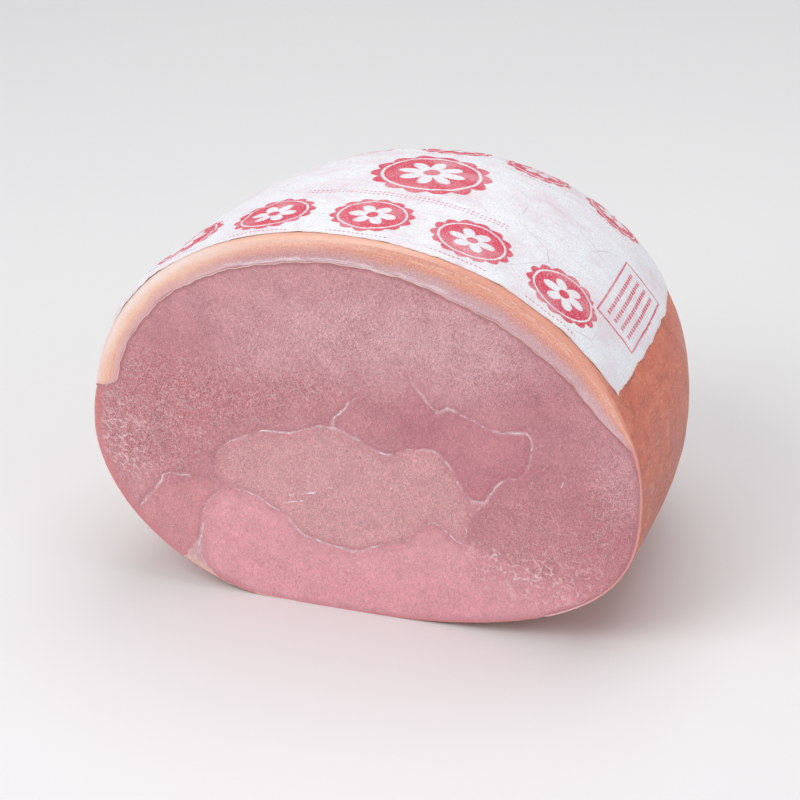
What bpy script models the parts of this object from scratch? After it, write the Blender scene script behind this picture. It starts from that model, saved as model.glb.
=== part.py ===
"""Half of a boneless cooked ham: lean core, fat cap with rind, printed paper sheet.

The cut face looks towards -Y, the body runs back towards +Y and rests on z = 0.
One outline and one taper shape the whole ham, and every layer is an offset of them.
"""
import math

import bmesh
import bpy
import numpy as np
from mathutils import Vector
from mathutils.kdtree import KDTree

MM = 0.001

# Whole ham, measured on the cut face and along the body.
HAM_WIDTH = 228.0 * MM
HAM_HEIGHT = 163.0 * MM
HAM_DEPTH = 184.0 * MM
WAIST_HEIGHT = 68.9 * MM
TOP_MIDDLE_X = -0.8 * MM
BOTTOM_MIDDLE_X = -31.8 * MM

# How square each quarter of the outline is: 2 is an ellipse, more is squarer.
SQUARE_TOP_RIGHT = 1.98
SQUARE_TOP_LEFT = 2.27
SQUARE_BOTTOM_LEFT = 1.86
SQUARE_BOTTOM_RIGHT = 2.81

# The closed end: where it ends, and how late each side starts to fall towards it.
END_X = 17.8 * MM
END_HEIGHT = 71.3 * MM
LATE_TOP = 4.33
LATE_LEFT = 2.02
LATE_RIGHT = 3.53
LATE_BOTTOM = 5.7
LATE_BOTTOM_TO_RIGHT = 1.7
END_ROUNDNESS = 2.02

# The lowest slice is pressed flat by the weight of the ham.
PRESSED_FLAT = 1.5 * MM
CUT_EDGE_ROUND = 2.2 * MM
# The fat is drawn in less than the lean where the cut edge is rounded.
CAP_ROUND_SHARE = 0.6
GAP = 0.3 * MM

# Mesh layout: columns round the ham and rings from the cut to the closed end.
COVERED_COLUMNS = 60
BARE_COLUMNS = 20
RING_DEPTHS = [0.0, 0.7, 2.2, 8.0, 18.0, 32.0, 50.0, 70.0, 90.0, 110.0, 128.0, 143.0,
               155.0, 165.0, 173.0, 178.5, 182.3, 184.0]
BARE_RINGS = 13
FINE_LEFT_STEPS = [0.5, 0.32, 0.2, 0.13]
# Points that trace the edge of the cap along the body and across its back.
EDGE_SAMPLES = 400
BACK_EDGE_SAMPLES = 100

# Fat cap: the angles where it ends at the cut, and where it has closed in further back.
CAP_RIGHT_FRONT = -49.0
CAP_LEFT_FRONT = 171.5
CAP_RIGHT_BACK = -75.0
CAP_LEFT_BACK = -110.0 + 360.0
CLOSING_POWER = 1.7

# Thickness of fat and rind round the cut, as (angle in degrees, millimetres).
CAP_THICKNESS = [(-49.0, 1.6), (12.0, 1.6), (17.0, 4.0), (22.0, 8.7), (30.0, 10.6),
                 (37.0, 11.4), (47.0, 12.7), (60.0, 13.4), (71.0, 13.8), (80.0, 12.2),
                 (92.0, 10.8), (114.0, 11.2), (127.0, 9.9), (141.0, 9.8), (152.0, 9.0),
                 (171.5, 9.0)]
CAP_BACK_THICKNESS = 8.0 * MM
# Share of the length behind which the cap has its back thickness all round.
CAP_EVEN_FROM = 0.8
CAP_EDGE_THICKNESS = 0.8 * MM

# Printed sheet on top: its extent round the ham and along it.
PAPER_RIGHT_ANGLE = 26.5
PAPER_LEFT_ANGLE = 156.0
PAPER_BACK = 150.0 * MM
PAPER_THICKNESS = 0.3 * MM
PAPER_STAND_OFF = 0.45 * MM
PAPER_COLUMNS = 34
PAPER_ROWS = 17
PAPER_SIDE_TEAR = 1.2 * MM
PAPER_BACK_TEAR = 2.2 * MM
# Front edge of the sheet, as (angle in degrees, millimetres behind the cut).
PAPER_FRONT = [(26.5, 4.6), (38.0, 2.6), (45.0, 3.4), (53.0, 2.4), (61.0, 3.4), (77.0, 2.0),
               (93.0, 4.4), (102.0, 5.6), (113.0, 3.8), (127.0, 2.2), (156.0, 3.0)]

# Seams between the muscles on the cut face, as (x, height) in millimetres.
SEAM_DEPTH = 1.0 * MM
SEAM_STEPS = 3
ROUND_MUSCLE = [(-61.5, 58.0), (-51.0, 71.0), (-28.0, 78.0), (-13.0, 82.0), (8.0, 75.0),
                (30.0, 78.0), (42.0, 64.5), (49.0, 57.5), (44.5, 48.0), (38.5, 40.5),
                (29.5, 46.0), (20.0, 37.0), (-2.0, 29.0), (-19.0, 32.0), (-31.0, 41.0)]
LEFT_MUSCLE = [(-62.0, 49.5), (-73.5, 52.5), (-84.0, 49.0), (-94.0, 35.5)]
LOWER_MUSCLE = [(-60.0, 47.0), (-67.5, 33.0), (-71.0, 16.0)]
CENTRE_MUSCLE = [(15.0, 80.5), (24.5, 101.0), (30.0, 96.0), (37.0, 97.0), (55.0, 91.0),
                 (67.0, 91.0), (68.5, 79.0), (57.0, 68.5), (52.5, 61.5)]

# Plain colours of the three layers, as display values from 0 to 255.
LEAN_COLOUR = (203, 146, 154)
FAT_COLOUR = (222, 158, 138)
PAPER_COLOUR = (238, 232, 238)


def linear(display):
    """Turn a display colour into the linear values a material takes."""
    values = []
    for channel in display:
        level = channel / 255.0
        if level <= 0.04045:
            values.append(level / 12.92)
        else:
            values.append(((level + 0.055) / 1.055) ** 2.4)
    return (values[0], values[1], values[2], 1.0)


def outline(angle):
    """Point (x, height) of the ham's outline on the cut, at an angle in degrees."""
    turn = math.radians(angle)
    across = math.cos(turn)
    up = math.sin(turn)
    if up >= 0.0:
        middle = TOP_MIDDLE_X
        reach_up = HAM_HEIGHT - WAIST_HEIGHT
        square = SQUARE_TOP_RIGHT if across > 0.0 else SQUARE_TOP_LEFT
    else:
        middle = BOTTOM_MIDDLE_X
        reach_up = WAIST_HEIGHT
        square = SQUARE_BOTTOM_RIGHT if across > 0.0 else SQUARE_BOTTOM_LEFT
    reach = HAM_WIDTH / 2 - middle * math.copysign(1.0, across)
    x = middle + math.copysign(reach * abs(across) ** (2.0 / square), across)
    height = WAIST_HEIGHT + math.copysign(reach_up * abs(up) ** (2.0 / square), up)
    return x, height


def skin(angle, depth):
    """Point on the outside of the ham, at an angle and a depth behind the cut."""
    turn = math.radians(angle)
    up = math.sin(turn)
    late_side = LATE_RIGHT if math.cos(turn) > 0.0 else LATE_LEFT
    late_up = LATE_TOP
    if up < 0.0:
        late_up = LATE_BOTTOM + LATE_BOTTOM_TO_RIGHT * math.cos(turn)
    late = late_up * up * up + late_side * (1.0 - up * up)
    along = min(max(depth / HAM_DEPTH, 0.0), 1.0)
    size = (1.0 - along ** late) ** (1.0 / END_ROUNDNESS)
    x, height = outline(angle)
    x = END_X + (x - END_X) * size
    height = END_HEIGHT + (height - END_HEIGHT) * size
    return Vector((x, depth - HAM_DEPTH / 2, height - PRESSED_FLAT))


def outward(angle, depth):
    """Unit vector that points out of the skin."""
    if depth > HAM_DEPTH * 0.9999:
        return Vector((0.0, 1.0, 0.0))
    turn_step = 0.4
    depth_step = 0.02 * MM
    near = max(depth - depth_step, 0.0)
    far = min(depth + depth_step, HAM_DEPTH)
    around = skin(angle + turn_step, depth) - skin(angle - turn_step, depth)
    back = skin(angle, far) - skin(angle, near)
    return around.cross(back).normalized() * -1.0


def ring_depth(ring):
    """Depth behind the cut of a ring, where ring 0 is the closed end."""
    return RING_DEPTHS[len(RING_DEPTHS) - 1 - ring] * MM


RING_COUNT = len(RING_DEPTHS) - 1
COLUMN_COUNT = COVERED_COLUMNS + BARE_COLUMNS
BARE_BACK_RING = RING_COUNT - BARE_RINGS


def covered_shares():
    """Where each covered column stands, from 0 at the right end to 1 at the left end."""
    steps = [1.0] * (COVERED_COLUMNS - len(FINE_LEFT_STEPS)) + FINE_LEFT_STEPS
    total = sum(steps)
    shares = [0.0]
    for step in steps:
        shares.append(shares[-1] + step / total)
    return shares


COVERED_SHARES = covered_shares()


def column_angle(column, depth):
    """Angle of a mesh column. Covered columns come first, then the bare ones."""
    bare_back = ring_depth(BARE_BACK_RING)
    closing = min(depth / bare_back, 1.0) ** CLOSING_POWER
    right = CAP_RIGHT_FRONT + (CAP_RIGHT_BACK - CAP_RIGHT_FRONT) * closing
    left = CAP_LEFT_FRONT + (CAP_LEFT_BACK - CAP_LEFT_FRONT) * closing
    if column <= COVERED_COLUMNS:
        return right + (left - right) * COVERED_SHARES[column]
    share = (column - COVERED_COLUMNS) / BARE_COLUMNS
    return left + (right + 360.0 - left) * share


def full_thickness(angle, depth):
    """Thickness of the fat and rind away from the edge of the cap."""
    turned = (angle + 90.0) % 360.0 - 90.0
    angles = [key[0] for key in CAP_THICKNESS]
    values = [key[1] * MM for key in CAP_THICKNESS]
    front = float(np.interp(turned, angles, values))
    back_share = math.sin(0.5 * math.pi * min(depth / (CAP_EVEN_FROM * HAM_DEPTH), 1.0)) ** 2
    return front + (CAP_BACK_THICKNESS - front) * back_share


def bare_edge_tree():
    """Search tree of points along the edge between the cap and the bare lean."""
    points = []
    bare_back = ring_depth(BARE_BACK_RING)
    for step in range(EDGE_SAMPLES):
        depth = bare_back * step / (EDGE_SAMPLES - 1)
        points.append(skin(column_angle(0, depth), depth))
        points.append(skin(column_angle(COVERED_COLUMNS, depth), depth))
    for step in range(BACK_EDGE_SAMPLES):
        share = step / (BACK_EDGE_SAMPLES - 1)
        angle = CAP_LEFT_BACK + (CAP_RIGHT_BACK + 360.0 - CAP_LEFT_BACK) * share
        points.append(skin(angle, bare_back))
    tree = KDTree(len(points))
    for index, point in enumerate(points):
        tree.insert(point, index)
    tree.balance()
    return tree


EDGE_TREE = bare_edge_tree()


def cap_thickness(angle, depth):
    """Thickness of the cap, rounded off towards its edge."""
    full = full_thickness(angle, depth)
    distance = EDGE_TREE.find(skin(angle, depth))[2]
    if distance >= full:
        return full
    rounded = full * math.sqrt(1.0 - (1.0 - distance / full) ** 2)
    return max(rounded, CAP_EDGE_THICKNESS)


def edge_rounding(depth):
    """How far the outside is drawn in by the rounded edge of the cut."""
    if depth >= CUT_EDGE_ROUND:
        return 0.0
    left = CUT_EDGE_ROUND - depth
    return CUT_EDGE_ROUND - math.sqrt(CUT_EDGE_ROUND ** 2 - left ** 2)


def cap_outside(angle, depth):
    """Outside of the fat cap."""
    inset = edge_rounding(depth) * CAP_ROUND_SHARE
    return skin(angle, depth) - outward(angle, depth) * inset


def cap_inside(angle, depth):
    """Inside of the fat cap."""
    return skin(angle, depth) - outward(angle, depth) * cap_thickness(angle, depth)


def press_flat(point):
    """Keep a point from sinking into the table."""
    return Vector((point.x, point.y, max(point.z, 0.0)))


def lean_outside(column, ring):
    """Outside of the lean core: under the cap, or at the skin where it is bare."""
    depth = ring_depth(ring)
    angle = column_angle(column, depth)
    bare = column > COVERED_COLUMNS and ring > BARE_BACK_RING
    if bare:
        inset = edge_rounding(depth)
    else:
        inset = cap_thickness(angle, depth) + GAP
    return press_flat(skin(angle, depth) - outward(angle, depth) * inset)


def half_ball():
    """Half of a ball whose columns and rings will take the shape of the ham."""
    mesh = bmesh.new()
    bmesh.ops.create_uvsphere(mesh, u_segments=COLUMN_COUNT, v_segments=2 * RING_COUNT,
                              radius=1.0)
    front = [vert for vert in mesh.verts if vert.co.z < -0.001]
    bmesh.ops.delete(mesh, geom=front, context='VERTS')
    return mesh


def grid_place(position):
    """Column and ring of a point on the half ball."""
    turn = math.atan2(position.y, position.x) % (2.0 * math.pi)
    column = round(turn / (2.0 * math.pi) * COLUMN_COUNT) % COLUMN_COUNT
    tilt = math.acos(min(max(position.z, -1.0), 1.0))
    ring = round(tilt / (0.5 * math.pi) * RING_COUNT)
    return column, ring


def finish_object(mesh, name, collection, material):
    """Turn a bmesh into a named object with its material."""
    bmesh.ops.recalc_face_normals(mesh, faces=mesh.faces[:])
    data = bpy.data.meshes.new(name)
    mesh.to_mesh(data)
    mesh.free()
    if material is not None:
        data.materials.append(material)
    obj = bpy.data.objects.new(name, data)
    collection.objects.link(obj)
    return obj


def make_material(name, colour, roughness):
    """Plain Principled material."""
    material = bpy.data.materials.new(name)
    material.use_nodes = True
    shader = material.node_tree.nodes["Principled BSDF"]
    shader.inputs["Base Color"].default_value = linear(colour)
    shader.inputs["Roughness"].default_value = roughness
    shader.inputs["Metallic"].default_value = 0.0
    return material


def make_lean(collection):
    """Lean core, closed in front by the flat cut."""
    mesh = half_ball()
    for vert in mesh.verts:
        column, ring = grid_place(vert.co)
        vert.co = lean_outside(column, ring)
    rim = [edge for edge in mesh.edges if edge.is_boundary]
    bmesh.ops.holes_fill(mesh, edges=rim, sides=COLUMN_COUNT)
    return finish_object(mesh, "lean_meat", collection,
                         make_material("lean_meat", LEAN_COLOUR, 0.42))


def make_cap(collection):
    """Fat cap with its rind: a hood over the core that leaves the underside bare."""
    mesh = half_ball()
    places = {}
    for vert in mesh.verts:
        places[vert] = grid_place(vert.co)
    bare = []
    for face in mesh.faces:
        middle = face.calc_center_median()
        turn = math.atan2(middle.y, middle.x) % (2.0 * math.pi)
        past_cap = turn / (2.0 * math.pi) * COLUMN_COUNT > COVERED_COLUMNS
        inner_ring = min(places[vert][1] for vert in face.verts)
        if past_cap and inner_ring >= BARE_BACK_RING:
            bare.append(face)
    bmesh.ops.delete(mesh, geom=bare, context='FACES')
    kept = {}
    for vert in mesh.verts:
        column, ring = grid_place(vert.co)
        depth = ring_depth(ring)
        angle = column_angle(column, depth)
        vert.co = press_flat(cap_outside(angle, depth))
        kept[vert] = cap_inside(angle, depth)
    targets = {}
    for vert, inside in kept.items():
        targets[tuple(round(value, 7) for value in vert.co)] = inside
    extruded = bmesh.ops.extrude_face_region(mesh, geom=mesh.faces[:])
    for item in extruded["geom"]:
        if isinstance(item, bmesh.types.BMVert):
            item.co = targets[tuple(round(value, 7) for value in item.co)]
    return finish_object(mesh, "fat_cap", collection,
                         make_material("fat_cap", FAT_COLOUR, 0.45))


def paper_front(angle):
    """Depth behind the cut where the sheet starts."""
    angles = [key[0] for key in PAPER_FRONT]
    values = [key[1] * MM for key in PAPER_FRONT]
    return float(np.interp(angle, angles, values))


def make_paper(collection):
    """Thin sheet laid over the top, with slightly torn edges."""
    rough = np.random.default_rng(7)
    mesh = bmesh.new()
    bmesh.ops.create_grid(mesh, x_segments=PAPER_COLUMNS, y_segments=PAPER_ROWS, size=1.0)
    back_tears = rough.uniform(-1.0, 1.0, PAPER_COLUMNS + 1)
    side_tears = rough.uniform(-1.0, 1.0, (2, PAPER_ROWS + 1))
    tear_turn = math.degrees(PAPER_SIDE_TEAR / HAM_WIDTH)
    for vert in mesh.verts:
        across = (vert.co.x + 1.0) / 2
        along = (vert.co.y + 1.0) / 2
        column = round(across * PAPER_COLUMNS)
        row = round(along * PAPER_ROWS)
        angle = PAPER_RIGHT_ANGLE + (PAPER_LEFT_ANGLE - PAPER_RIGHT_ANGLE) * across
        if column == 0:
            angle += side_tears[0][row] * tear_turn
        if column == PAPER_COLUMNS:
            angle += side_tears[1][row] * tear_turn
        front = paper_front(angle)
        depth = front + (PAPER_BACK - front) * along
        if row == PAPER_ROWS:
            depth += back_tears[column] * PAPER_BACK_TEAR
        lift = PAPER_STAND_OFF - edge_rounding(depth) * CAP_ROUND_SHARE
        vert.co = skin(angle, depth) + outward(angle, depth) * lift
    sheet = finish_object(mesh, "paper_wrap", collection,
                          make_material("paper_wrap", PAPER_COLOUR, 0.6))
    middle = min(sheet.data.polygons, key=lambda face: abs(face.center.x))
    thicken = sheet.modifiers.new("thickness", 'SOLIDIFY')
    thicken.thickness = PAPER_THICKNESS
    thicken.offset = 1.0 if middle.normal.z > 0.0 else -1.0
    return sheet


def make_groove(points, closed, name, collection):
    """Thin square bar along a seam, used to cut a groove into the face."""
    curve = bpy.data.curves.new(name, 'CURVE')
    curve.dimensions = '3D'
    curve.resolution_u = SEAM_STEPS
    curve.bevel_depth = SEAM_DEPTH
    curve.bevel_resolution = 0
    curve.use_fill_caps = True
    spline = curve.splines.new('BEZIER')
    spline.bezier_points.add(len(points) - 1)
    for knot, (x, height) in zip(spline.bezier_points, points):
        knot.co = Vector((x * MM, -HAM_DEPTH / 2, height * MM - PRESSED_FLAT))
        knot.handle_left_type = 'AUTO'
        knot.handle_right_type = 'AUTO'
    spline.use_cyclic_u = closed
    holder = bpy.data.objects.new(name + "_path", curve)
    collection.objects.link(holder)
    bpy.context.view_layer.update()
    solid = bpy.data.meshes.new_from_object(holder.evaluated_get(
        bpy.context.evaluated_depsgraph_get()))
    bpy.data.objects.remove(holder)
    mesh = bmesh.new()
    mesh.from_mesh(solid)
    bpy.data.meshes.remove(solid)
    bmesh.ops.remove_doubles(mesh, verts=mesh.verts[:], dist=0.01 * MM)
    groove = finish_object(mesh, name, collection, None)
    groove.hide_render = True
    groove.display_type = 'WIRE'
    return groove


def cut_seams(lean, collection):
    """Cut the seams between the muscles into the cut face."""
    seams = [("seam_round", ROUND_MUSCLE, True), ("seam_left", LEFT_MUSCLE, False),
             ("seam_lower", LOWER_MUSCLE, False), ("seam_centre", CENTRE_MUSCLE, False)]
    for name, points, closed in seams:
        groove = make_groove(points, closed, name, collection)
        cut = lean.modifiers.new(name, 'BOOLEAN')
        cut.operation = 'DIFFERENCE'
        cut.solver = 'EXACT'
        cut.object = groove


def main():
    for obj in list(bpy.data.objects):
        bpy.data.objects.remove(obj, do_unlink=True)
    part = bpy.data.collections.new("cooked_ham_half")
    cutters = bpy.data.collections.new("cutters")
    bpy.context.scene.collection.children.link(part)
    bpy.context.scene.collection.children.link(cutters)
    lean = make_lean(part)
    make_cap(part)
    make_paper(part)
    cut_seams(lean, cutters)


main()
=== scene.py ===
# %% [markdown]
# # Half of a cooked ham, with its fat, rind and paper
#
# This lesson builds the look of a boneless cooked ham that has been cut in half.
# The cut face shows several muscles, the seams between them and the fat round the top.
# A thin printed paper lies over the rind.
# The solids behind it were made first, as CAD, and each piece here stands for one of them.

# %% Load the CAD frame
import math

import bmesh
import bpy
import numpy as np
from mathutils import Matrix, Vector, noise


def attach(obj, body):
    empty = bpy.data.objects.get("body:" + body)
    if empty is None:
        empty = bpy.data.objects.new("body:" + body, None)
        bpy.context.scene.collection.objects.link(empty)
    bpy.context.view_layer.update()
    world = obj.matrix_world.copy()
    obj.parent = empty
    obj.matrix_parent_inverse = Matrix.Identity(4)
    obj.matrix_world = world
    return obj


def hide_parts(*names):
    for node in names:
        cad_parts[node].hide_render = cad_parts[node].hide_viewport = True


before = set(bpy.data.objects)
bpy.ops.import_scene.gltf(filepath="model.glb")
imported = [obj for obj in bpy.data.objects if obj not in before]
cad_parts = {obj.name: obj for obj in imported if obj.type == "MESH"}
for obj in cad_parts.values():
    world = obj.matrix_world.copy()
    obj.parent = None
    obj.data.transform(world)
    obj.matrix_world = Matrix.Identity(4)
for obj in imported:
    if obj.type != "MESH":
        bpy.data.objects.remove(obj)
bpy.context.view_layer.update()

# %% [markdown]
# ## The shape of the ham
#
# A pressed ham is a rounded loaf, flatter underneath. It could be sculpted by hand, but
# meat, fat and paper have to fit one another, so all three are measured from one skin.
# The skin follows two rules: the outline of the cut, and how that outline shrinks
# towards the closed end. Both work on whole arrays, in millimetres.
# An angle of 0 is the right side, 90 the top, 180 the left side and 270 the underside.

# %% Outline and taper
WIDTH, HEIGHT, LENGTH, WAIST = 228.0, 163.0, 184.0, 68.9
PRESSED = 1.5
END_X, END_Z = 17.8, 71.3
TOP_MIDDLE, UNDER_MIDDLE = -0.8, -31.8
TOP_RIGHT, TOP_LEFT, UNDER_RIGHT, UNDER_LEFT = 1.98, 2.27, 2.81, 1.86


def outline(angle):
    """Point (x, height) on the outline of the cut, for angles in degrees."""
    turn = np.radians(angle)
    across, up = np.cos(turn), np.sin(turn)
    middle = np.where(up >= 0, TOP_MIDDLE, UNDER_MIDDLE)
    power = np.where(up >= 0, np.where(across > 0, TOP_RIGHT, TOP_LEFT),
                     np.where(across > 0, UNDER_RIGHT, UNDER_LEFT))
    reach = WIDTH / 2 - middle * np.where(across >= 0, 1.0, -1.0)
    rise = np.where(up >= 0, HEIGHT - WAIST, WAIST)
    x = middle + np.sign(across) * reach * np.abs(across) ** (2.0 / power)
    z = WAIST + np.sign(up) * rise * np.abs(up) ** (2.0 / power)
    return x, z


def skin(angle, depth):
    """Points on the outside of the ham, from angle and depth behind the cut."""
    turn = np.radians(angle)
    up, across = np.sin(turn), np.cos(turn)
    side = np.where(across > 0, 3.53, 2.02)
    upright = np.where(up > 0, 4.33, 5.7 + 1.7 * across)
    late = upright * up ** 2 + side * (1 - up ** 2)
    along = np.clip(depth / LENGTH, 0.0, 1.0)
    size = np.clip(1 - along ** late, 0.0, 1.0) ** (1 / 2.02)
    x, z = outline(angle)
    x = END_X + (x - END_X) * size
    z = END_Z + (z - END_Z) * size - PRESSED
    return np.stack([x, depth - LENGTH / 2 + 0 * x, z], axis=-1)


def outward(angle, depth):
    """Unit vectors that point out of the skin."""
    near = np.clip(depth - 0.05, 0.0, LENGTH * 0.9998)
    far = np.clip(depth + 0.05, 0.02, LENGTH * 0.99995)
    flat = 0 * (angle + depth)
    around = skin(angle + 0.4, near + flat) - skin(angle - 0.4, near + flat)
    back = skin(angle, far + flat) - skin(angle, near + flat)
    normal = np.cross(back, around)
    length = np.linalg.norm(normal, axis=-1, keepdims=True)
    pole = (depth + flat > LENGTH * 0.9995)[..., None]
    return np.where(pole, np.array([0.0, 1.0, 0.0]), normal / np.maximum(length, 1e-9))


print("Widest point of the cut:", [round(float(v), 1) for v in outline(np.array(0.0))])

# %% [markdown]
# ## The edge of the fat
#
# The fat covers the top and the right side. On the left it stops in a rounded end,
# and on the right it thins out to little more than rind.
# Further back it closes in under the ham. Its thickness is a short list by angle, as it
# could be read off the cut with callipers. The same rule shapes the inside of the fat and
# the outside of the meat, so the two never cross. `column_angle` spreads the mesh columns
# so that one of them always runs along each edge of the fat.

# %% Where the fat lies, and how thick it is
BARE_BACK = 165.0
RIGHT_FRONT, LEFT_FRONT, RIGHT_BACK, LEFT_BACK = -49.0, 171.5, -75.0, 250.0
SLICE = 4000
THICK_ANGLES = [-49, 8, 14, 18, 22, 30, 37, 47, 60, 71, 80, 92, 103, 114, 127, 141, 152, 171.5]
THICK_VALUES = [1.4, 1.4, 2.2, 5.2, 8.6, 10.7, 11.5, 12.7, 13.5, 13.6, 12.2, 10.9, 10.9,
                11.1, 10.0, 9.6, 9.2, 9.0]


def edge_angles(depth):
    """Angles of the right and left edge of the fat at a depth."""
    closing = np.clip(depth / BARE_BACK, 0, 1) ** 1.7
    return (RIGHT_FRONT + (RIGHT_BACK - RIGHT_FRONT) * closing,
            LEFT_FRONT + (LEFT_BACK - LEFT_FRONT) * closing)


def column_angle(place, depth):
    """Angle of a column: place 0 to 1 runs over the fat, 1 to 2 over the bare underside."""
    right, left = edge_angles(depth)
    covered = right + (left - right) * place
    bare = left + (right + 360 - left) * (place - 1)
    return np.where(place <= 1, covered, bare)


def edge_points():
    """Points along the whole edge of the fat."""
    depth = np.linspace(0, BARE_BACK, 240)
    right, left = edge_angles(depth)
    back = np.linspace(LEFT_BACK, RIGHT_BACK + 360, 60)
    return np.concatenate([skin(right, depth), skin(left, depth), skin(back, BARE_BACK + 0 * back)])


def nearest(points, targets):
    """Distance from each point to the nearest target, and which one that is, in slices."""
    flat = points.reshape(-1, points.shape[-1])
    away, number = np.empty(len(flat)), np.empty(len(flat), dtype=int)
    for start in range(0, len(flat), SLICE):
        gaps = ((flat[start:start + SLICE, None] - targets[None]) ** 2).sum(-1)
        number[start:start + SLICE] = gaps.argmin(1)
        away[start:start + SLICE] = np.sqrt(gaps.min(1))
    return away.reshape(points.shape[:-1]), number.reshape(points.shape[:-1])


def distance_to(points, targets):
    """Distance from each point to the nearest target."""
    return nearest(points, targets)[0]


def fat_thickness(angle, depth):
    """Thickness of fat and rind, rounded off at its edge."""
    turned = (angle + 90) % 360 - 90
    spread = [np.interp(turned + shift, THICK_ANGLES, THICK_VALUES) for shift in (-3, -1, 1, 3)]
    uneven = 0.22 * np.sin(0.31 * turned) + 0.2 * np.sin(0.83 * turned + 1) + 0.12 * np.sin(1.9 * turned + 2)
    front = np.where(turned > 20, sum(spread) / 4 + uneven * np.clip((turned - 20) / 10, 0, 1),
                     np.interp(turned, THICK_ANGLES, THICK_VALUES))
    share = np.sin(0.5 * np.pi * np.clip(depth / (0.8 * LENGTH), 0, 1)) ** 2
    full = front + (8.0 - front) * share
    blunt = np.where(turned > 90, 0.65, 1.0)
    inner = np.clip(distance_to(skin(angle, depth), edge_points()) / (full * blunt), 0, 1)
    return np.maximum(full * np.sqrt(1 - (1 - inner) ** 2), 0.6)


print("Fat at the top:", round(float(fat_thickness(np.array([90.0]), np.array([0.0]))[0]), 1), "mm")

# %% [markdown]
# ## From arrays to meshes
#
# A mesh is made from rows of points, and neighbouring rows are joined by quads. That is
# quicker than adding points one at a time, and the shape stays a formula.
# Each piece also carries named numbers on its points, such as the distance to a seam.
# The materials read these numbers by name.

# %% Mesh helpers
MM = 0.001


def rows_to_quads(rows, closed):
    """Quads between neighbouring rows of point numbers."""
    ring = np.concatenate([rows, rows[:, :1]], axis=1) if closed else rows
    a, b = ring[:-1, :-1], ring[:-1, 1:]
    c, d = ring[1:, 1:], ring[1:, :-1]
    return np.stack([a, b, c, d], axis=-1).reshape(-1, 4)


def fan(row, tip):
    """Triangles between a closed row of point numbers and one tip."""
    return np.stack([row, np.roll(row, -1), 0 * row + tip], axis=-1)


def column_places(over_fat, below):
    """Places of the mesh columns: some over the fat and some below it."""
    return np.concatenate([np.linspace(0, 1, over_fat + 1), 1 + np.arange(1, below) / below])


def add_object(name, data):
    """New object in the scene."""
    made = bpy.data.objects.new(name, data)
    bpy.context.scene.collection.objects.link(made)
    return made


def add_numbers(mesh, numbers):
    """Puts named numbers on the points of a mesh."""
    for key, values in numbers.items():
        layer = mesh.attributes.new(key, 'FLOAT', 'POINT')
        layer.data.foreach_set("value", np.asarray(values, dtype=np.float32).ravel())


def make_piece(name, points, faces, numbers, sharp=50.0):
    """Closed smooth mesh object from millimetre points, with named numbers on them."""
    mesh = bpy.data.meshes.new(name)
    mesh.from_pydata((points * MM).tolist(), [], [tuple(dict.fromkeys(face)) for face in faces])
    add_numbers(mesh, numbers)
    work = bmesh.new()
    work.from_mesh(mesh)
    bmesh.ops.delete(work, geom=[vert for vert in work.verts if not vert.link_faces], context='VERTS')
    bmesh.ops.recalc_face_normals(work, faces=work.faces[:])
    work.to_mesh(mesh)
    work.free()
    mesh.shade_smooth()
    mesh.set_sharp_from_angle(angle=math.radians(sharp))
    return add_object(name, mesh)


def wander(points, size, seed=0.0):
    """Smooth random number from about -1 to 1 at each point, for waves of a size in mm."""
    flat = points.reshape(-1, 3) / size + seed
    return np.array([noise.noise(Vector(p)) for p in flat.tolist()]).reshape(points.shape[:-1])


def waves(points, *layers):
    """Sum of wanders, each given by its height, size and seed."""
    return sum(level * wander(points, size, seed) for level, size, seed in layers)


def smooth(value, low, high):
    """Soft step from 0 at low to 1 at high."""
    t = np.clip((value - low) / (high - low), 0, 1)
    return t * t * (3 - 2 * t)


print("Helpers ready")

# %% [markdown]
# ## The seams between the muscles
#
# The muscles of a ham are held together by thin membranes, which show as seams on the cut.
# They could be painted on, but as lines they can also sink into the meat and later grow
# into real membrane. A few control points give each one, as (x, height, strength), and
# strength says how white and thick it is there. `soft_path` draws a smooth line through.

# %% Seam and vein lines
ROUND = [(-61.8, 58, .3), (-60, 51, .3), (-53, 47.4, .4), (-45.6, 45.9, .5), (-39.5, 43, .5),
         (-31, 37.3, .8), (-24.5, 31.5, 1), (-17, 29, .9), (-6.7, 27.5, .8), (-1, 27.6, 1),
         (7, 31.2, .6), (16.3, 34, .3), (22, 38, .4), (29.5, 45.4, .5), (36, 42.1, .6),
         (42, 38, .2), (44, 45.2, .5), (46, 52, .5), (50.9, 57.2, .8), (45, 58, .9),
         (40, 65.2, .8), (36.6, 70.9, .8), (29.9, 77, .8), (19, 75.7, .4), (11, 72.5, .7),
         (2.2, 75.3, .8), (-6, 79.3, .7), (-14, 80.4, .9), (-22, 78.8, .5), (-29, 75.5, .6),
         (-40.6, 74.9, .6), (-49.3, 70.8, .7), (-57.5, 66, .5)]
CENTRE = [(19, 106, .2), (24, 101.5, .8), (27.5, 97.5, .7), (30.6, 93.8, 1), (33.9, 95.2, 1),
          (37.2, 95.7, 1), (46.3, 91.9, 1), (55.4, 88.9, 1), (61, 89.4, 1), (67.6, 90.1, .8),
          (69.6, 87, .6), (69.5, 83, .8), (69, 77, .6), (64.7, 70.6, .5), (59.8, 69.4, .7),
          (55.7, 66, .8), (53.3, 62.1, .9), (50.9, 57.2, .9)]
TRIANGLE = [(-97, 31.5, .4), (-94, 33.5, .8), (-90.9, 38.4, 1), (-86.3, 43.9, .9), (-83.8, 48.9, .6),
            (-78, 49.6, .5), (-70.9, 50, .7), (-66.6, 48.9, .5), (-63.1, 47.2, .4)]
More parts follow.
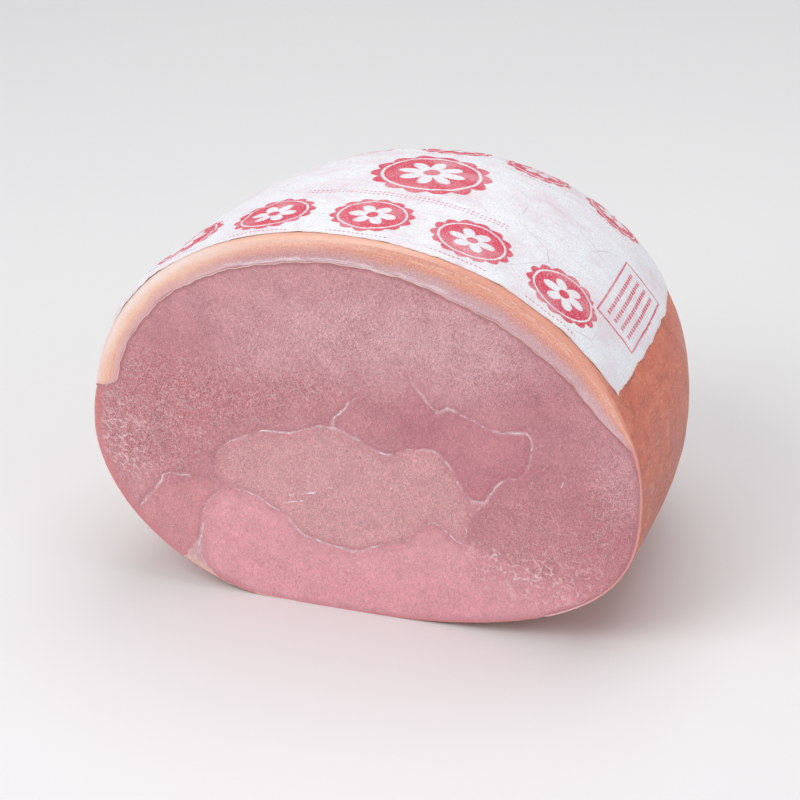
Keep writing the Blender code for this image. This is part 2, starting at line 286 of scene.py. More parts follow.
LOWER = [(-58.7, 46, .3), (-63.2, 42.1, .6), (-67.4, 34.9, .7), (-68, 29.2, .9), (-69.2, 21.5, 1.5),
         (-69.8, 14.8, 1.7), (-68.6, 12.2, 1.2), (-65.1, 8, .5), (-59.8, 4.2, .4), (-54.5, 2.6, .3)]
ABOVE = [(-11.5, 80.3, .9), (-10.9, 84.8, .8), (-7, 88.9, .7), (-3.6, 93.9, .6), (.6, 96.7, .4)]
VEINS = [
    [(-110, 74, .6), (-106.6, 71, .7), (-102, 69.9, .7), (-96.7, 69.3, .4)],
    [(-109.7, 61.8, .6), (-105.5, 63.8, .7), (-101, 66.4, .7), (-98.8, 64, .5), (-90.7, 68, .4)],
    [(-80.4, 83.6, .4), (-77.9, 78.1, .6), (-74.5, 74.6, .6), (-71.5, 75, .5), (-72.9, 70.7, .3)],
    [(-33.8, 46.4, .5), (-27.2, 48.9, .5), (-20.3, 50.9, .4), (-15.1, 53.1, .3), (-7.3, 54.9, .4)],
    [(-34.7, 44, .4), (-29, 45.4, .4), (-21.2, 47.1, .3)],
    [(84.2, 76.8, .6), (83.1, 72.2, .6), (81.1, 68.4, .6), (80.9, 63.9, .4)],
    [(37.7, 30.1, .4), (46.2, 31.1, .6), (53.7, 34.6, .6), (60.3, 37.1, .4)],
    [(51.3, 27.4, .5), (58.8, 28.7, .6), (65.4, 31.2, .6), (72.1, 31, .5), (79.4, 35.9, .4)],
    [(55.1, 23.5, .7), (58.8, 24.6, .7), (63, 27.6, .5)],
    [(55.1, 23.5, .6), (57.2, 19.2, .6), (57.3, 16.5, .3)],
    [(86.1, 35.3, .5), (87.4, 31.9, .6), (90.3, 29.2, .4)],
    [(70.4, 34.3, .5), (70.9, 29, .5), (72.2, 25.6, .3)],
    [(31.7, 51.3, .4), (34.2, 48.1, .5), (33, 44, .3)],
    [(-41.6, 105.3, .3), (-44.7, 101.8, .5), (-47.5, 94.7, .3)],
]


def soft_path(knots, closed=False, step=0.7):
    """Smooth line through (x, height, strength) knots, with a point about every step."""
    knots = np.array(knots, dtype=float)
    if closed:
        knots = np.concatenate([knots[-1:], knots, knots[:2]])
    else:
        knots = np.concatenate([2 * knots[:1] - knots[1:2], knots, 2 * knots[-1:] - knots[-2:-1]])
    found = []
    for a, b, c, d in zip(knots[:-3], knots[1:-2], knots[2:-1], knots[3:]):
        count = max(2, int(np.hypot(*(c - b)[:2]) / step))
        t = np.linspace(0, 1, count, endpoint=False)[:, None]
        found.append(0.5 * (2 * b + (c - a) * t + (2 * a - 5 * b + 4 * c - d) * t ** 2
                            + (3 * b - a - 3 * c + d) * t ** 3))
    path = np.concatenate(found + ([] if closed else [knots[-2:-1]]))
    path[:, 2] = np.maximum(path[:, 2], 0.05)
    jitter = np.stack([path[:, 0], path[:, 1], 0 * path[:, 0]], axis=-1)
    path[:, 0] += waves(jitter, (0.5, 3.1, 5.5), (0.25, 1.1, 2.5))
    path[:, 1] += waves(jitter, (0.5, 3.1, 9.5), (0.25, 1.1, 7.5))
    return path


paths = {"round": soft_path(ROUND, closed=True), "centre": soft_path(CENTRE),
         "triangle": soft_path(TRIANGLE), "lower": soft_path(LOWER), "above": soft_path(ABOVE)}
for number, knots in enumerate(VEINS):
    paths["vein_%02d" % number] = soft_path(knots)
seam_cloud = np.concatenate([path for key, path in paths.items() if not key.startswith("vein")])
print(len(paths), "lines,", len(seam_cloud), "seam points")

# %% [markdown]
# ## Which muscle a point belongs to
#
# Each muscle has its own pink. A painted mask would have one fixed border, so the signed
# distance to the outline is stored instead: negative inside, and soft or ragged at will.
# A few soft spots add the deeper pink band, the frosty patches and the coarse left side.

# %% Muscle outlines
def signed_distance(places, ring):
    """Distance to a closed outline, negative inside it."""
    away = distance_to(places, ring)
    x, z = places[..., 0], places[..., 1]
    inside = np.zeros(x.shape, dtype=bool)
    for (x0, z0), (x1, z1) in zip(ring, np.roll(ring, -1, axis=0)):
        crosses = (z0 > z) != (z1 > z)
        inside ^= crosses & (x < (x1 - x0) * (z - z0) / (z1 - z0 + 1e-12) + x0)
    return np.where(inside, -away, away)


round_line, centre_line, triangle_line, lower_line = (
    paths[key][:, :2] for key in ("round", "centre", "triangle", "lower"))
RINGS = {
    "in_round": round_line,
    "in_centre": np.concatenate([centre_line, [(45, 58), (36.6, 71), (30, 77), (19, 76), (16, 84)]]),
    "in_triangle": np.concatenate([triangle_line, [(-62, 46)], lower_line[3:60],
                                   [(-72, 10), (-84, 14), (-100, 26)]]),
    "in_lower": np.concatenate([lower_line, [
        (-40, -6), (95, -6), (112, 30), (82, 27), (66, 31), (50, 36), (42, 40), (36, 42), (29, 44),
        (20, 35), (8, 31), (-6, 27), (-18, 29), (-26, 33), (-38, 43), (-52, 47)]]),
    "in_strip": np.array([
        (-77, 12), (-73, 16), (-70.6, 20.5), (-69.4, 19), (-69, 14), (-68, 11.5), (-65, 7.6),
        (-60, 3.8), (-54, 1.9), (-45, 0.9), (-28, 0.2), (-28, -4), (-60, -4)]),
}
print("Muscles:", sorted(RINGS))

# %% Colour spots
SPOTS = {
    "deep": [(-22, 92, 34, 13, .55), (18, 84, 18, 13, .6), (-70, 96, 28, 12, .4), (62, 66, 34, 18, .35),
             (92, 62, 16, 26, .35), (30, 88, 14, 8, .3), (45, 50, 20, 14, .4), (64, 74, 14, 6, .5),
             (-84, 84, 24, 34, .4), (-74, 114, 20, 12, .4), (80, 92, 20, 15, .6), (98, 54, 14, 18, .45),
             (-84, 64, 26, 16, .2), (-60, 78, 22, 10, .25), (70, 114, 14, 12, .5), (109, 48, 7, 16, .6),
             (99, 24, 10, 9, .9), (84, 12, 10, 6, .4), (60, 108, 22, 16, .6), (70, 28, 34, 14, .3),
             (92, 34, 12, 14, .3), (8, 52, 22, 10, .2)],
    "frost": [(40, 118, 30, 17, .7), (12, 128, 60, 16, .6), (104, 74, 8, 18, .6), (-20, 112, 40, 18, .45),
              (-40, 104, 20, 9, .2), (84, 92, 14, 12, .1), (-10, 58, 26, 14, .25), (62, 110, 14, 10, .1)],
    "rose": [(-50, 30, 18, 16, .9), (0, 12, 60, 14, .8), (50, 12, 40, 10, .6), (92, 24, 16, 14, .9),
             (-96, 44, 10, 18, .4), (50, 82, 16, 10, .5), (-110, 60, 5, 20, .7)],
    "coarse": [(-98, 72, 16, 22, 1), (-84, 62, 18, 14, .9), (-74, 82, 26, 13, .8), (-52, 90, 26, 11, .7),
               (-88, 92, 18, 12, .6), (-24, 96, 24, 9, .5), (78, 36, 28, 14, .45), (100, 60, 12, 20, .5),
               (70, 56, 18, 12, .4)],
    "net": [(-104, 66, 9, 16, 1), (-96, 54, 12, 12, .7), (-84, 78, 12, 10, .3), (66, 30, 26, 12, 1),
            (90, 26, 14, 12, .5), (-52, 104, 16, 8, .3)],
}


def spots(places, name):
    """Sum of soft round spots of one kind."""
    total = 0.0
    for x, z, wide, high, level in SPOTS[name]:
        apart = ((places[..., 0] - x) / wide) ** 2 + ((places[..., 1] - z) / high) ** 2
        total = total + level * np.exp(-apart)
    return np.clip(total, 0.0, 1.2)


print("Spots of", sorted(SPOTS))

# %% [markdown]
# ## The lean meat
#
# The lean is one body of grown-together muscles. Its cut face is a fan of columns from a
# middle point to the rim, fine enough for real relief. Seams sink in a little, each muscle
# bulges slightly, and the coarse side is rough. The same columns then run back along the
# outside to the closed end, so face and side share their rim and leave no gap.

# %% Relief of the cut
COVERED, BARE, FACE_RINGS = 300, 130, 104
LEAN_GAP, BARE_INSET, NOTCH, FLOOR_GAP = 0.06, 1.1, 0.7, 0.02
SIDE_DEPTHS = np.array([0, 0.25, 0.6, 1.1, 1.7, 3, 5, 8, 12, 17, 23, 30, 38, 47, 57, 67, 77, 87, 97,
                        107, 116, 125, 133, 140, 146, 151, 156, 161, BARE_BACK, 168.5, 171.5, 174, 176.2,
                        178.2, 180, 181.4, 182.5, 183.2, 183.7, LENGTH])


def edge_round(depth, radius):
    """How far a rounded edge draws the outside in."""
    left = np.clip(radius - depth, 0, radius)
    return radius - np.sqrt(radius ** 2 - left ** 2)


def face_relief(places, seam_gap, strength, rim):
    """How far the cut face stands out towards the viewer, in mm."""
    points = np.concatenate([places, 0 * places[..., :1]], axis=-1)
    swell = waves(points, (0.45, 34, 1.5), (0.22, 11, 4.5))
    groove = -0.55 * np.clip(strength, 0.3, 1) * np.exp(-(seam_gap / 0.9) ** 2)
    ridge = 0.3 * np.exp(-((seam_gap - 2.2) / 1.4) ** 2)
    rough = (0.05 + 0.16 * spots(places, "coarse")) * waves(points, (1, 2.6, 3.5), (1, 5.2, 8.5))
    return (swell + groove + ridge + rough) * smooth(rim, 0, 3)


print("Cut face:", FACE_RINGS, "rings of", COVERED + BARE, "points")

# %% Lean meat surface
places = column_places(COVERED, BARE)
covered = places <= 1
angles = column_angle(places, SIDE_DEPTHS[:, None])
here = SIDE_DEPTHS[:, None] + 0 * angles
out = outward(angles, here)
open_side = ~covered & (here < BARE_BACK)
open_inset = edge_round(here, BARE_INSET) + NOTCH * np.exp(-((places - 1) * BARE / 3) ** 2)
inset = np.where(open_side, open_inset, fat_thickness(angles, here) + LEAN_GAP)
side_points = skin(angles, here) - out * inset[..., None]
rough = np.abs(waves(side_points, (0.5, 16, 2.5), (0.25, 5, 6.5))) * smooth(here, 2, 12)
side_points -= out * (open_side * rough)[..., None]
side_points[..., 2] = np.maximum(side_points[..., 2], FLOOR_GAP)

rim_points, middle = side_points[0], np.array([2, -LENGTH / 2, 72])
share = np.arange(1, FACE_RINGS + 1) / FACE_RINGS
face_points = middle + (rim_points - middle) * share[:, None, None]
flat_places = face_points[..., [0, 2]]
seam_gap, seam_number = nearest(flat_places, seam_cloud[:, :2])
seam_power = seam_cloud[seam_number, 2]
rim_gap = distance_to(flat_places, rim_points[:, [0, 2]])
face_points[..., 1] -= face_relief(flat_places, seam_gap, seam_power, rim_gap)

print("Nearest seam:", round(float(seam_gap.min()), 3), "mm")

# %% Lean meat mesh
lean_points = np.concatenate([[middle], face_points.reshape(-1, 3), side_points[1:].reshape(-1, 3)])
lean_rows = 1 + np.arange(len(lean_points) - 1).reshape(-1, len(places))
lean_faces = np.roll(fan(lean_rows[0], 0), 1, axis=1).tolist()
lean_faces += rows_to_quads(lean_rows[:-1], True).tolist() + fan(lean_rows[-2], lean_rows[-1, 0]).tolist()


def face_numbers(values, hub, elsewhere):
    """One number per point: the middle, the rings of the cut, then the outside."""
    return np.concatenate([[hub], values.ravel(), np.full(side_points[1:, :, 0].size, elsewhere)])


lean_flat = lean_points[:, [0, 2]]
lean_numbers = {"on_face": face_numbers(0 * rim_gap + 1, 1, 0), "rim": face_numbers(rim_gap, 40, 0),
                "seam": face_numbers(seam_gap, 30, 30), "power": face_numbers(seam_power, 0, 0),
                "bare_rim": face_numbers(~covered + 0 * rim_gap, 0, 0)}
lean_numbers.update({key: signed_distance(lean_flat, ring) for key, ring in RINGS.items()})
lean_numbers.update({key: spots(lean_flat, key) for key in SPOTS})
lean = make_piece("lean_meat_look", lean_points, lean_faces, lean_numbers)
print("Lean meat:", len(lean.data.polygons), "faces")

# %% [markdown]
# ## The fat cap and its rind
#
# The cap is a hood: an outside, an inside and the cut between them. A Solidify modifier
# could give it thickness, but here that changes from place to place, so both sides are
# made from the same rule. On the cut the fat swells out a little, as soft fat does when
# it is sliced. `inward` says how many millimetres below the rind a point lies.

# %% Fat cap
CAP_COVERED, CAP_BARE, CUT_STEPS = 340, 80, 14
CUT_ROUND, END_ROUND, LOWEST = 2.2, 2.6, 0.4
DENTS, SETTLED = ((0.45, 24, 1.5), (0.16, 7, 3.5)), 0.25
CAP_DEPTHS = np.concatenate([[0, 0.1, 0.3, 0.6, 1, 1.5, 2.2, 3.2, 4.6, 6.4], np.linspace(9, BARE_BACK, 50),
                             [167.5, 170, 172.4, 174.7, 176.8, 178.7, 180.3, 181.7, 182.8, 183.5, LENGTH]])
angles = column_angle(column_places(CAP_COVERED, CAP_BARE), CAP_DEPTHS[:, None])
here = CAP_DEPTHS[:, None] + 0 * angles
base, out, thick = skin(angles, here), outward(angles, here), fat_thickness(angles, here)
dent = waves(base, *DENTS, (0.06, 2.6, 6.5)) - SETTLED
dent *= smooth(here, 0, 6) * smooth(thick, 0.8, 3)
sunk = edge_round(here, CUT_ROUND) * np.clip(thick / 9, 0.15, 0.8)
sunk += np.minimum(edge_round(distance_to(base, edge_points()), END_ROUND) * 0.55, 0.4 * thick)
outer = base + out * (dent - sunk)[..., None]
outer[..., 2] = np.maximum(outer[..., 2], LOWEST)
inner = base - out * thick[..., None]

last = CAP_COVERED
over_cut = slice(0, last + 1)
cut_share, cut_thick = (np.arange(1, CUT_STEPS) / CUT_STEPS)[:, None], thick[0, over_cut]
cut_points = outer[0, over_cut] + (inner[0, over_cut] - outer[0, over_cut]) * cut_share[..., None]
swell = np.sin(np.pi * cut_share) ** 0.7 * np.clip(cut_thick / 10, 0, 1)
cut_place = np.stack([cut_points[..., 0], cut_share * cut_thick * 6, cut_points[..., 2]], axis=-1)
cut_points[..., 1] -= swell * (0.12 + waves(cut_place, (0.24, 8, 2.5), (0.14, 3, 6.5)))
print("Thickest fat on the cut:", round(float(cut_thick.max()), 1), "mm")

# %% Fat cap mesh
back_row = int(np.argmin(np.abs(CAP_DEPTHS - BARE_BACK)))
outer_index = np.arange(thick.size).reshape(thick.shape)
inner_index = outer_index + thick.size
cut_index = 2 * thick.size + np.arange(cut_points[..., 0].size).reshape(cut_points.shape[:2])
cap_faces = []
for index, flip in ((outer_index, 1), (inner_index, -1)):
    for quads in (rows_to_quads(index[:back_row + 1, over_cut], False),
                  rows_to_quads(index[back_row:-1], True), fan(index[-2], index[-1, 0])):
        cap_faces += quads[:, ::flip].tolist()
cut_rows = np.concatenate([outer_index[:1, over_cut], cut_index, inner_index[:1, over_cut]])
cap_faces += rows_to_quads(cut_rows, False)[:, ::-1].tolist()
for column in (0, last):
    strip = np.stack([outer_index[1:back_row + 1, column], inner_index[1:back_row + 1, column]])
    cap_faces += rows_to_quads(strip, False).tolist()
    cap_faces.append(cut_rows[:, column].tolist() + [inner_index[1, column], outer_index[1, column]])
round_back = list(range(last, thick.shape[1])) + [0]
back_edge = np.stack([outer_index[back_row, round_back], inner_index[back_row, round_back]])
cap_faces += rows_to_quads(back_edge, False).tolist()


def cap_numbers(outside, inside, on_cut):
    """One number per point of the cap: the outside, the inside, then the cut."""
    shapes = thick.shape, thick.shape, cut_points.shape[:2]
    return np.concatenate([np.broadcast_to(part, shape).ravel()
                           for part, shape in zip((outside, inside, on_cut), shapes)])


cap_points = np.concatenate([part.reshape(-1, 3) for part in (outer, inner, cut_points)])
cap = make_piece("fat_cap_look", cap_points, cap_faces, {
    "cut": cap_numbers(CAP_DEPTHS[:, None] < 0.05, 0, 1), "share": cap_numbers(0, 1, cut_share),
    "inward": cap_numbers(0, thick, cut_share * cut_thick), "thick": cap_numbers(thick, thick, cut_thick),
    "turn": cap_numbers(angles, angles, angles[0, over_cut])})
print("Fat cap:", len(cap.data.polygons), "faces")

# %% [markdown]
# ## The paper on top
#
# A thin sheet sticks to the rind. A simulation could drape it, but wet paper only follows
# what is under it, so it is an offset of the skin with soft wrinkles, the same on every
# run. Its edges are torn, and its front left corner lifts a little.
# `print_u` and `print_v` measure the sheet in millimetres and place the print later.

# %% Sizes of the paper
PAPER_COLUMNS, PAPER_ROWS, PAPER_THICKNESS = 300, 122, 0.18
EDGE_WIDTH, EDGE_LENGTH = 290, 146
PAPER_RIGHT, PAPER_LEFT, PAPER_BACK = 26.6, 153.5, 149
FRONT_ANGLES = [26.5, 38, 45, 53, 61, 77, 93, 102, 113, 127, 156]
FRONT_DEPTHS = [5, 2.6, 3.2, 2.4, 3.2, 1.8, 4, 4.6, 2.4, 1, 0.6]

arc_angles = np.linspace(15, 170, 1200)
arc_x, arc_z = outline(arc_angles)
arc_steps = np.concatenate([[0], np.cumsum(np.hypot(np.diff(arc_x), np.diff(arc_z)))])
arc_steps -= np.interp(90, arc_angles, arc_steps)


def tear(places, seed, coarse, fine):
    """Ragged offset along an edge, in mm."""
    points = np.stack([places, 0 * places, 0 * places], axis=-1)
    return waves(points, (coarse, 9, seed), (fine, 1.7, seed + 3))


print("Sheet:", PAPER_COLUMNS, "by", PAPER_ROWS, "cells")

# %% Paper surface
across = np.linspace(0, 1, PAPER_COLUMNS + 1)[None]
along = np.linspace(0, 1, PAPER_ROWS + 1)[:, None]
right_edge = PAPER_RIGHT + 0.45 * tear(along * EDGE_LENGTH, 2.5, 1.5, 0.7)
left_edge = PAPER_LEFT + 0.45 * tear(along * EDGE_LENGTH, 8.5, 2, 1)
paper_angle = right_edge + (left_edge - right_edge) * across
arc = np.interp(paper_angle, arc_angles, arc_steps)
front_edge = np.interp(paper_angle, FRONT_ANGLES, FRONT_DEPTHS) + tear(arc, 4.5, 0.5, 0.45)
back_edge = PAPER_BACK + tear(arc, 6.5, 3, 1.2)
paper_depth = np.maximum(front_edge + (back_edge - front_edge) * along, 0.5)
base, out = skin(paper_angle, paper_depth), outward(paper_angle, paper_depth)
sheet_place = np.stack([arc, paper_depth, 0 * arc], axis=-1)
soft = waves(base, *DENTS) - SETTLED
fold = 1 - np.abs(wander(sheet_place * np.array([0.45, 1.5, 1]), 13, 5.5)) * 2.2
crease = np.clip(fold - 0.6, 0, 1) * 0.7 + 0.10 * wander(sheet_place, 4.5, 7.5)
corner = 1.3 * smooth(paper_angle, 128, 142) * (1 - smooth(paper_depth, 8, 40))
corner *= smooth(paper_depth, 0.6, 2.6) * (1 + 0.5 * wander(sheet_place, 6, 3.5))
edge_gap = np.minimum(np.minimum(across, 1 - across) * EDGE_WIDTH,
                      np.minimum(along, 1 - along) * EDGE_LENGTH)
lift = 0.10 + 0.22 * smooth(edge_gap, 0, 4) + soft * smooth(paper_depth, 0, 6) + np.maximum(crease, -0.1)
lift += corner - edge_round(paper_depth, CUT_ROUND) * 0.8
lift += 0.12 * (1 - smooth(edge_gap, 0, 2.5)) * np.abs(wander(sheet_place, 3.2, 9.5))
print("Paper lifts", round(float(lift.max()), 1), "mm at most")

# %% Paper mesh
over = base + out * (lift + PAPER_THICKNESS)[..., None]
under = base + out * lift[..., None]
over_index = np.arange(arc.size).reshape(arc.shape)
under_index = over_index + arc.size
border = np.concatenate([over_index[0, :-1], over_index[:-1, -1], over_index[-1, :0:-1],
                         over_index[:0:-1, 0]])
paper_faces = (rows_to_quads(over_index, False).tolist() + rows_to_quads(under_index, False)[:, ::-1].tolist()
               + rows_to_quads(np.stack([border, border + arc.size]), True).tolist())
both = {"print_u": arc, "print_v": paper_depth, "edge": edge_gap, "crease": crease}
paper_points = np.concatenate([over.reshape(-1, 3), under.reshape(-1, 3)])
paper = make_piece("paper_wrap_look", paper_points, paper_faces,
                   {key: np.tile(values.ravel(), 2) for key, values in both.items()})
print("Paper:", len(paper.data.polygons), "faces,", round(float(np.ptp(arc))), "mm across")

# %% [markdown]
# ## Building materials with less wiring
#
# `Graph` adds nodes to a tree, and each gives back a `Value`. Values can be added, scaled
# and faded like plain numbers, and every such step adds the node that does it.
# Colours are given as display values from 0 to 255 and turned into linear ones.

# %% Colours and values
def shade(red, green, blue):
    """Linear colour from display values."""
    levels = np.array([red, green, blue]) / 255
    linear = np.where(levels <= 0.04045, levels / 12.92, ((levels + 0.055) / 1.055) ** 2.4)
    return (*linear.tolist(), 1)


class Value:
    """One output in a node tree, to reckon with like a number."""

    def __init__(self, graph, socket):
        self.graph, self.socket = graph, socket

    def __add__(self, other):
        return self.graph.math('ADD', self, other)

    def __sub__(self, other):
        return self.graph.math('SUBTRACT', self, other)

    def __rsub__(self, other):
        return self.graph.math('SUBTRACT', other, self)

    def __mul__(self, other):
        return self.graph.math('MULTIPLY', self, other)

    def __abs__(self):
        return self.graph.math('ABSOLUTE', self)

    __radd__, __rmul__ = __add__, __mul__

    def fade(self, low, high, start=0, end=1):
        """Soft step from start at low to end at high."""
        return self.graph.value('ShaderNodeMapRange', {
            "Value": self, "From Min": low, "From Max": high, "To Min": start, "To Max": end},
            interpolation_type='SMOOTHSTEP')


print("Values ready")


# %% Graph helper
class Graph:
    """Adds nodes to a tree, each linked as it is made."""

    def __init__(self, tree):
        self.tree, self.count = tree, 0

    def node(self, kind, sockets=None, **settings):
        made = self.tree.nodes.new(kind)
        made.location = (200 * (self.count % 14), -260 * (self.count // 14))
        self.count += 1
        for key, value in settings.items():
            setattr(made, key, value)
        for key, value in (sockets or {}).items():
            self.feed(made.inputs[key], value)
        return made

    def feed(self, socket, value):
        if isinstance(value, Value):
            self.tree.links.new(value.socket, socket)
        else:
            socket.default_value = value

    def wire(self, node, **sockets):
        """Feeds the inputs of a node by name, with _ for a space."""
        for key, value in sockets.items():
            self.feed(node.inputs[key.replace("_", " ")], value)
        return node

    def value(self, kind, sockets=None, output=0, **settings):
        return Value(self, self.node(kind, sockets, **settings).outputs[output])

    def values(self, node):
        return {socket.name: Value(self, socket) for socket in node.outputs}

    def group(self, tree, **sockets):
        return self.values(self.wire(self.node('ShaderNodeGroup', node_tree=tree), **sockets))

    def math(self, operation, a, b=0, c=0):
        return self.value('ShaderNodeMath', {0: a, 1: b, 2: c}, operation=operation)

    def most(self, first, *others):
        """Largest of several values."""
        for other in others:
            first = self.math('MAXIMUM', first, other)
        return first

    def vector(self, x, y, z=0):
        return self.value('ShaderNodeCombineXYZ', {0: x, 1: y, 2: z})

    def place(self, operation, *vectors):
        return self.value('ShaderNodeVectorMath', dict(enumerate(vectors)), operation=operation)

    def noise(self, vector, scale, detail=2, rough=0.5, distort=0, output=0):
        return self.value('ShaderNodeTexNoise', {"Vector": vector, "Scale": scale, "Detail": detail,
                                                 "Roughness": rough, "Distortion": distort}, output)

    def stretched(self, vector, size, *settings):
        """Noise in a place that is scaled differently along each axis."""
        return self.noise(self.place('MULTIPLY', vector, size), 1, *settings)

    def cracks(self, vector, scale=1):
        """Distance to the lines of a net."""
        return self.value('ShaderNodeTexVoronoi', {"Vector": vector, "Scale": scale}, "Distance",
                          feature='DISTANCE_TO_EDGE')

    def read(self, name):
        return self.value('ShaderNodeAttribute', output="Fac", attribute_name=name)

    def bump(self, height, strength, distance):
        return self.value('ShaderNodeBump', {"Height": height, "Strength": strength, "Distance": distance})

    def mix(self, factor, a, b, blend='MIX'):
        a, b = (shade(*colour) if isinstance(colour, tuple) else colour for colour in (a, b))
        return self.value('ShaderNodeMix', {0: factor, 6: a, 7: b}, 2, data_type='RGBA', blend_type=blend)

    def layers(self, base, *pairs):
        """Lays colours over a base, each as far as its mask says."""
        for mask, colour in pairs:
            base = self.mix(mask, base, colour)
        return base

    def ramp(self, value, stops):
        made = self.node('ShaderNodeValToRGB', {0: value})
        band = made.color_ramp
        while len(band.elements) < len(stops):
            band.elements.new(0.5)
        for element, (place, *levels) in zip(band.elements, stops):
            element.position = place
            element.color = shade(*levels)
        return Value(self, made.outputs[0])


print("Graph ready")


# %% New materials and node groups
KINDS = {"Place": 'Vector', "Geometry": 'Geometry', "Material": 'Material'}


def new_material(name):
    """Material with its graph, its Principled shader and its place in millimetres."""
    material = bpy.data.materials.new(name)
    material.use_nodes = True
    graph = Graph(material.node_tree)
    place = graph.value('ShaderNodeTexCoord', output="Object")
    return (material, graph, material.node_tree.nodes["Principled BSDF"],
            graph.place('MULTIPLY', place, (1000, 1000, 1000)))


def new_tree(name, kind, inputs, outputs):
    """Node group with sockets named by words, its graph, its inputs and its output node."""
    tree = bpy.data.node_groups.new(name, kind)
    for side, labels in (('INPUT', inputs), ('OUTPUT', outputs)):
        for label in labels.split():
            socket_type = 'NodeSocket' + KINDS.get(label, 'Float')
            tree.interface.new_socket(label, in_out=side, socket_type=socket_type)
    graph = Graph(tree)
    return tree, graph, graph.values(graph.node('NodeGroupInput')), graph.node('NodeGroupOutput')


print("Materials and node groups ready")

# %% [markdown]
# ## Meat grain, shared by the muscles
#
# Cooked meat is never one flat pink. Close up it has soft mottling, a sandy grain, thin
# pale fibres and a fine web. One node group makes all four, and each use sets the direction
# of the fibres. A fibre is a thin line where a stretched noise crosses its middle value.

# %% Grain group
FIBRE_SETS = ((0, 0), (-1.15, 31))
grain_group, g, given, result = new_tree("meat_grain", 'ShaderNodeTree', "Place Direction",
                                         "Mottle Grain Fibres Web")
spot = given["Place"]
mottle = g.noise(spot, 0.10, 2, 0.6) * 0.55 + g.noise(spot, 0.55, 2, 0.65) * 0.45
grain, hair = g.noise(spot, 4.2, 1) * 0.4, 0
for lean_by, seed_shift in FIBRE_SETS:
    turned = g.value('ShaderNodeVectorRotate', {"Vector": spot, "Angle": given["Direction"] + lean_by},
                     rotation_type='Y_AXIS')
    moved = g.place('ADD', turned, (seed_shift, 0, 0))
    grain += g.stretched(moved, (4.2, 1.6, 1.1), 1, 0.5, 0.5) * 0.3
    hair += abs(g.stretched(moved, (0.85, 0.4, 0.2), 2, 0.5, 1.1) - 0.5).fade(0.05, 0.012)
bent = g.place('MULTIPLY_ADD', g.noise(spot, 0.7, 1, output="Color"), (2.4, 0, 2.4), spot)
web = g.cracks(g.place('MULTIPLY', bent, (0.85, 0, 1.05))).fade(0.12, 0.03)
g.wire(result, Mottle=mottle, Grain=grain, Fibres=g.math('MINIMUM', hair, 1), Web=web)
print("Grain group:", len(grain_group.nodes), "nodes")

# %% [markdown]
# ## Lean meat material
#
# Cured meat changes from pale rose to deep pink across the cut. No single noise gives that,
# so the colours of the muscles are laid over one another by their distances, then deepened
# and frosted by the soft spots. Each layer is a mask and a colour.

# %% Lean colours
FIBRE_DIRECTION, EDGE_WANDER = 0.55, 7
lean_material, g, shader, spot = new_material("cooked_lean")
fibres = g.group(grain_group, Place=spot, Direction=FIBRE_DIRECTION)
mottle, grain, hair = (fibres[key] for key in ("Mottle", "Grain", "Fibres"))
edge_noise = (mottle - 0.5) * EDGE_WANDER
deep, rose, coarse, frost, net = (g.read(key) for key in ("deep", "rose", "coarse", "frost", "net"))


def inside(name, soft):
    """Mask of a muscle from its signed distance, with a wandering edge."""
    return (g.read(name) + edge_noise).fade(soft, -soft)


round_mask = g.read("in_round").fade(0.4, -0.8)
open_mask = 1 - round_mask * 0.8
tone = g.layers(
    (211, 147, 154),
    (inside("in_lower", 5), (240, 170, 180)),
    (inside("in_triangle", 1.5), (220, 148, 154)),
    (inside("in_centre", 1.2), (206, 134, 145)),
    (round_mask, (220, 158, 162)),
    (deep * open_mask * 0.75, (192, 114, 127)),
    (rose * open_mask * 0.45, (238, 160, 170)),
    (coarse * 0.75, (190, 100, 110)),
    (frost * mottle.fade(0.32, 0.68) * 0.5, (217, 178, 184)))
roughness = g.most(g.math('MINIMUM', frost + coarse, 1), round_mask * 0.6)
grain_swing = g.most((grain - 0.5) * roughness.fade(0, 1, 1.8, 4.6), -0.15)
shift = mottle.fade(0.32, 0.68, 0.90, 1.09) * (grain_swing + 1)
tone = g.mix(1, tone, g.value('ShaderNodeCombineColor', {0: shift, 1: shift, 2: shift}), 'MULTIPLY')
print("Muscle colours laid")

# %% [markdown]
# ## Fibres, seams and rims
#
# Grain and fibres lie over all the muscles, and stronger on the coarse side.
# Seams and veins are pale membrane. Next to the fat the meat is darker, and the bare rim
# is smoother and pinker. Away from the cut the meat has a pale brown crust.

# %% Fibres, seams and rims
open_grain = grain.fade(0.42, 0.6)
sway = g.vector(edge_noise, 0, edge_noise * -0.8)
net_gap = g.cracks(g.place('MULTIPLY', g.place('ADD', spot, sway), (0.26, 0, 0.36)))
net_line = net_gap.fade(0.08, 0.02) * g.noise(spot, 0.35).fade(0.42, 0.56) * net
power, bare_rim, rim_distance = (g.read(key) for key in ("power", "bare_rim", "rim"))
seam = g.read("seam") + edge_noise * 0.12
seam_line = seam.fade(power * 0.75 + 0.45, power * 0.2) * power.fade(0, 1, 0.1, 0.9)
seam_line *= grain.fade(0.36, 0.58, 0.25, 1) * g.noise(spot, 0.13, 1).fade(0.4, 0.56, 0.15, 1)
web = fibres["Web"] * grain.fade(0.42, 0.58, 0.2, 1)
rim = rim_distance + edge_noise * 0.3
height_here = g.value('ShaderNodeSeparateXYZ', {0: spot}, "Z")
under_fat = rim.fade(2, 0.2) * (1 - bare_rim) * height_here.fade(70, 100, 0.35, 0.65)
rim_tone = g.mix(height_here.fade(12, 34), (214, 148, 160), (218, 132, 132))
strip = (g.read("in_strip") + edge_noise * 0.3).fade(1.5, -0.1)
strip_tone = g.mix(rim_distance.fade(4, 0.5), (234, 190, 192), (246, 212, 198))
